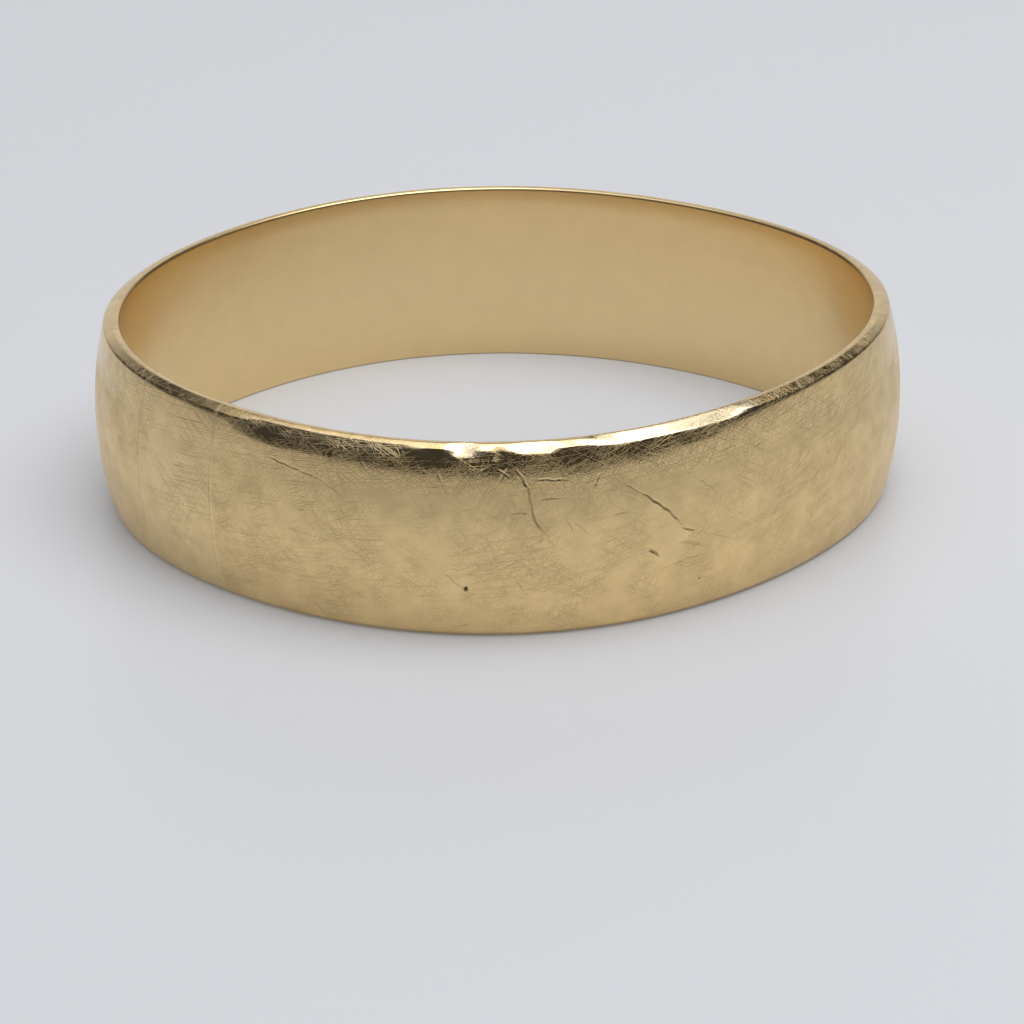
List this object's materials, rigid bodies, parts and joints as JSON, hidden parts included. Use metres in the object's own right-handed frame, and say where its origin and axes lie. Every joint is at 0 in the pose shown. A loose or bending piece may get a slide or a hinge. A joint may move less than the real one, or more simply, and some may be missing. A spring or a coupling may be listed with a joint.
{
  "type": "wedding band",
  "caption": "Low-domed D-section finger ring with a plain round bore and a soldered sizing piece.",
  "frame": {"origin": "centre of the finger bore on the plane of the lower edge", "axes": "+Z along the finger axis, from the lower edge to the upper edge; -Y is the front, +X is to the right seen from the front"},
  "size_m": [0.0208, 0.0208, 0.005],
  "materials": {
    "yellow_gold": "worn satin over an old polish, with fine scratches",
    "sizing_gold": "worn satin, a little less scratched than the band",
    "gold_solder": "pale dressed solder"
  },
  "bodies": {
    "root": {"band": "yellow_gold", "sizing_insert": "sizing_gold", "solder_seam_left": "gold_solder", "solder_seam_right": "gold_solder"}
  },
  "joints": []
}
